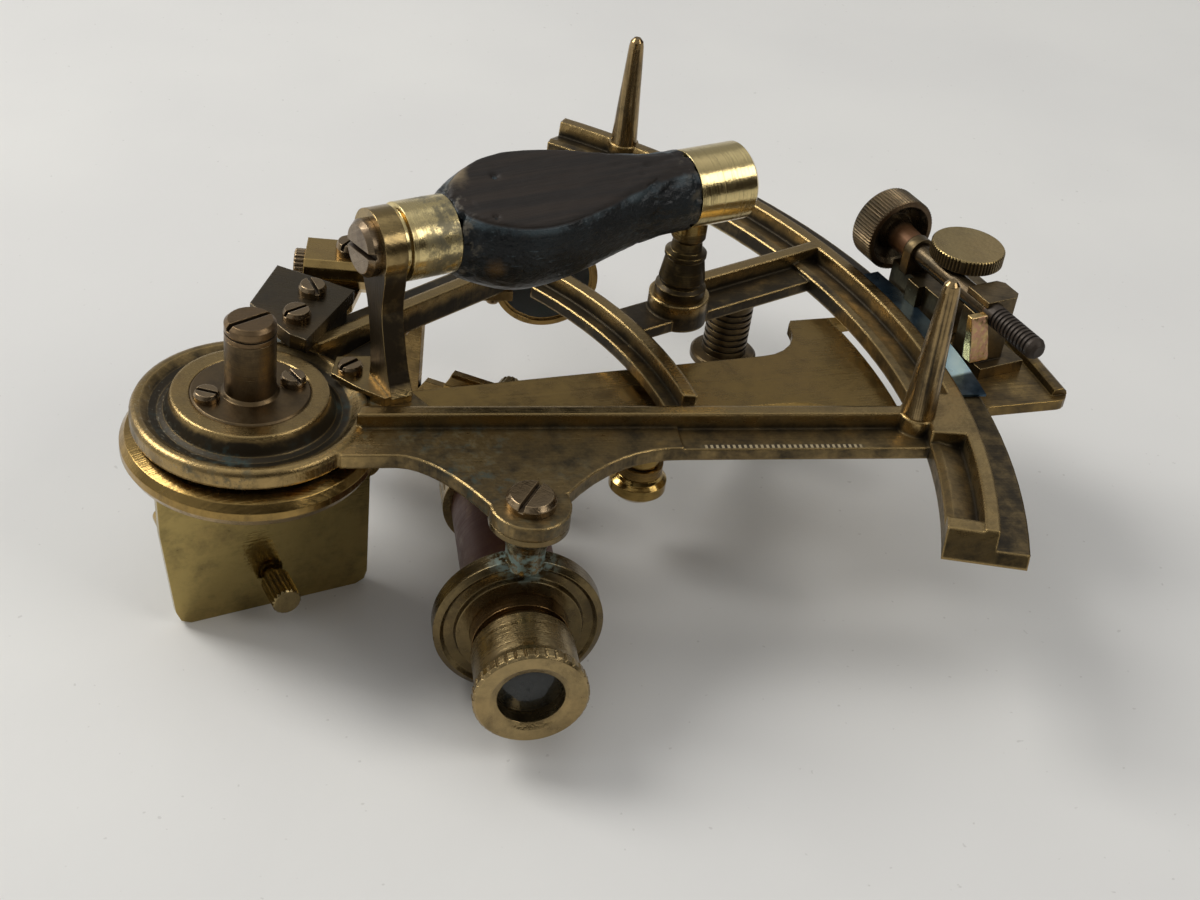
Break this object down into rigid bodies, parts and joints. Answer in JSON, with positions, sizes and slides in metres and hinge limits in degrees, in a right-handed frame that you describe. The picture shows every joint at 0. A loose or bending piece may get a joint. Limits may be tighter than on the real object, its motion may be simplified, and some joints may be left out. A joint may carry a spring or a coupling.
{
  "type": "sextant",
  "caption": "Brass sextant lying face down: ribbed frame with divided arc, index arm, telescope, mirrors, shades, magnifier, clamp and tangent screw, wooden handle and legs.",
  "frame": {"origin": "on the pivot axis of the index arm, level with the tops of the frame's ribs", "axes": "+X along the middle of the frame from the pivot towards the arc, +Y towards the side of the shades, +Z out of the frame's back, up as pictured"},
  "size_m": [0.1918, 0.1795, 0.082],
  "materials": {
    "brass_cast": "aged brown-green casting, worn bright on its edges",
    "brass_dark": "aged brass, darkened",
    "brass_bright": "brushed brass, rubbed bright",
    "brass_screw": "turned brass with dark slots",
    "brass_tube": "lacquered brass, reddish brown",
    "grip_wood": "ebonised wood, worn and scratched",
    "steel_rod": "plain steel",
    "spring_steel": "blued spring steel",
    "scale_strip": "pale divided strip",
    "lens_glass": "clear ground glass",
    "mirror_glass": "silvered glass",
    "shade_green": "dark green glass",
    "shade_red": "dark red glass",
    "copper_block": "hammered copper-coloured brass"
  },
  "bodies": {
    "frame": {"frame": "brass_cast", "arc_scale": "scale_strip", "leg_near": "brass_cast", "leg_far": "brass_cast", "pivot_sleeve": "brass_dark", "back_screws": "brass_screw", "handle_bracket": "brass_cast", "handle_screw": "brass_screw", "handle_rod": "steel_rod", "handle_ferrule_front": "brass_bright", "handle_grip": "grip_wood", "handle_ferrule_rear": "brass_bright", "handle_pillar": "brass_bright", "telescope_collar": "brass_dark", "collar_screw": "brass_dark", "telescope_tube": "brass_tube", "objective_cell": "brass_dark", "objective_lens": "lens_glass", "horizon_bracket": "brass_dark", "under_screws": "brass_screw", "horizon_bezel": "brass_screw", "horizon_glass": "mirror_glass", "index_shade_base": "brass_dark", "shade_base_screws": "brass_screw", "index_shade_block": "brass_bright", "shade_block_screw": "brass_screw", "index_shade_bracket": "brass_dark", "index_shade_pin": "brass_dark", "horizon_shade_bracket": "brass_dark", "horizon_shade_pin": "brass_dark"},
    "index_arm": {"index_arm": "brass_cast", "pivot_shaft": "brass_dark", "shaft_cap": "brass_dark", "index_mirror_plate": "brass_cast", "index_glass": "mirror_glass", "index_mirror_clips": "brass_screw", "vernier_scale": "scale_strip", "magnifier_post": "brass_bright", "tangent_nut": "brass_dark", "spring_stop": "copper_block"},
    "index_mirror_screw": {"index_mirror_screw": "brass_screw"},
    "horizon_mirror_screw": {"horizon_mirror_screw": "brass_screw"},
    "index_shade_1": {"index_shade_ring_1": "brass_dark", "index_shade_glass_1": "shade_green"},
    "index_shade_2": {"index_shade_ring_2": "brass_dark", "index_shade_glass_2": "shade_red"},
    "horizon_shade_1": {"horizon_shade_ring_1": "brass_dark", "horizon_shade_glass_1": "shade_green"},
    "horizon_shade_2": {"horizon_shade_ring_2": "brass_dark", "horizon_shade_glass_2": "shade_red"},
    "magnifier": {"magnifier_arm": "brass_dark", "magnifier_cell": "brass_dark", "magnifier_lens": "lens_glass"},
    "eyepiece": {"eyepiece_tube": "brass_tube", "eyepiece_cap": "brass_screw", "eyepiece_lens": "lens_glass"},
    "clamp_carriage": {"clamp_carriage": "brass_dark", "clamp_spring": "spring_steel"},
    "clamp_knob": {"clamp_knob": "brass_screw"},
    "tangent_screw": {"tangent_screw": "brass_dark"}
  },
  "joints": [
    {"name": "index_arm_turn", "type": "hinge", "parent": "frame", "child": "index_arm", "pos_m": [0, 0, 0], "axis": [0, 0, 1], "range_deg": [-20, 17]},
    {"name": "magnifier_swing", "type": "hinge", "parent": "index_arm", "child": "magnifier", "pos_m": [0.07874, -0.01417, -0.0262], "axis": [0, 0, 1], "range_deg": [-58, 4]},
    {"name": "index_mirror_adjust", "type": "hinge", "parent": "index_arm", "child": "index_mirror_screw", "pos_m": [0.002, -0.012, -0.0395], "axis": [0, -1, 0], "range_deg": [-270, 270]},
    {"name": "horizon_mirror_adjust", "type": "hinge", "parent": "frame", "child": "horizon_mirror_screw", "pos_m": [0.06168, 0.01594, -0.0255], "axis": [0.7555, 0.6552, 0], "range_deg": [-270, 270]},
    {"name": "index_shade_1_swing", "type": "hinge", "parent": "frame", "child": "index_shade_1", "pos_m": [0.02404, 0.01863, -0.02], "axis": [0.9837, 0.1799, 0], "range_deg": [-157.8, 0]},
    {"name": "index_shade_2_swing", "type": "hinge", "parent": "frame", "child": "index_shade_2", "pos_m": [0.02748, 0.01926, -0.02], "axis": [0.9837, 0.1799, 0], "range_deg": [-137.8, 20]},
    {"name": "horizon_shade_1_swing", "type": "hinge", "parent": "frame", "child": "horizon_shade_1", "pos_m": [0.07143, 0.051, -0.0162], "axis": [-0.3173, -0.9483, 0], "range_deg": [-94.1, 0]},
    {"name": "horizon_shade_2_swing", "type": "hinge", "parent": "frame", "child": "horizon_shade_2", "pos_m": [0.07258, 0.05442, -0.0162], "axis": [-0.3173, -0.9483, 0], "range_deg": [-94.1, 0]},
    {"name": "eyepiece_focus", "type": "slide", "parent": "frame", "child": "eyepiece", "axis": [-0.3173, -0.9483, 0], "range_m": [-0.0013, 0.006]},
    {"name": "carriage_travel", "type": "slide", "parent": "index_arm", "child": "clamp_carriage", "axis": [0, -1, 0], "range_m": [-0.00159, 0.00159]},
    {"name": "clamp_turn", "type": "hinge", "parent": "clamp_carriage", "child": "clamp_knob", "pos_m": [0.1538, -0.0133, 0.012], "axis": [0, 0, 1], "range_deg": [-90, 360]},
    {"name": "tangent_turn", "type": "hinge", "parent": "clamp_carriage", "child": "tangent_screw", "pos_m": [0.149, 0, 0.0072], "axis": [0, -1, 0], "range_deg": [-540, 540]}
  ],
  "couplings": [
    {"joint": "tangent_turn", "follows": "carriage_travel", "rad_per_m": 5927.5}
  ]
}
